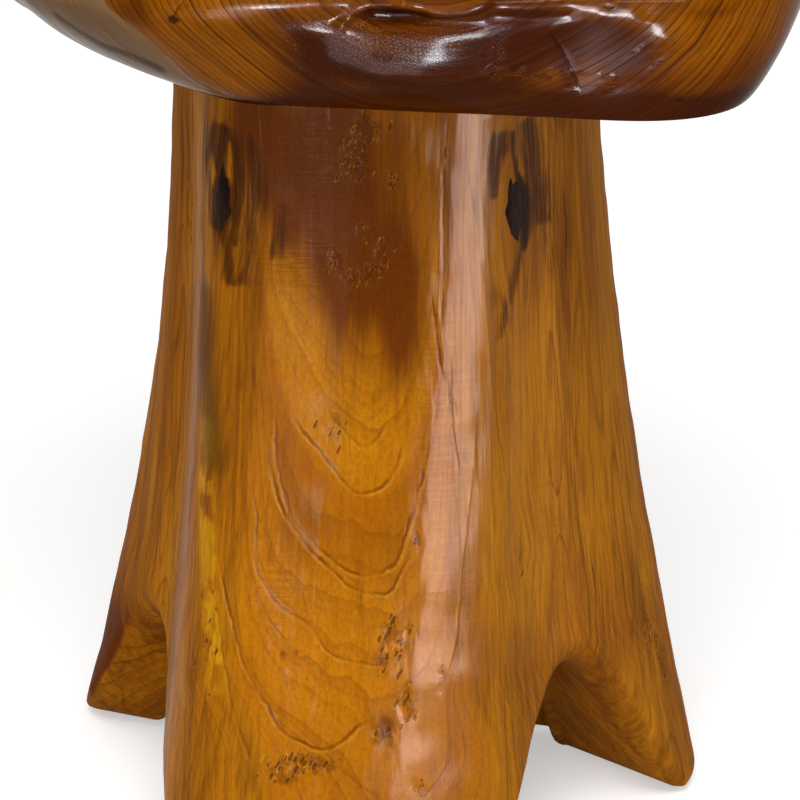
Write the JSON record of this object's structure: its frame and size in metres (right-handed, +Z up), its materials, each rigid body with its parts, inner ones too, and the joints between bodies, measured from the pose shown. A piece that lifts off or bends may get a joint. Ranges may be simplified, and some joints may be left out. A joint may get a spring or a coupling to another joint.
{
  "type": "tree stump stool",
  "caption": "Stool with a thick live-edge seat slab dowelled to a flared tree stump that is carved into root legs with arches between them.",
  "frame": {"origin": "on the floor, under the middle of the seat", "axes": "+Z up, -Y towards the front of the stool, +X to the right as seen from the front"},
  "size_m": [0.38, 0.352, 0.45],
  "materials": {
    "seat_wood": "glossy varnish",
    "stump_wood": "glossy varnish",
    "dowel_wood": "bare",
    "knot_resin": "gloss",
    "foot_pad": "matt"
  },
  "bodies": {
    "root": {"seat_slab": "seat_wood", "stump_base": "stump_wood", "dowel_1": "dowel_wood", "dowel_2": "dowel_wood", "dowel_3": "dowel_wood", "left_knot_fill": "knot_resin", "right_knot_fill": "knot_resin", "front_foot_pad": "foot_pad", "right_foot_pad": "foot_pad", "rear_foot_pad": "foot_pad", "left_foot_pad": "foot_pad"}
  },
  "joints": []
}
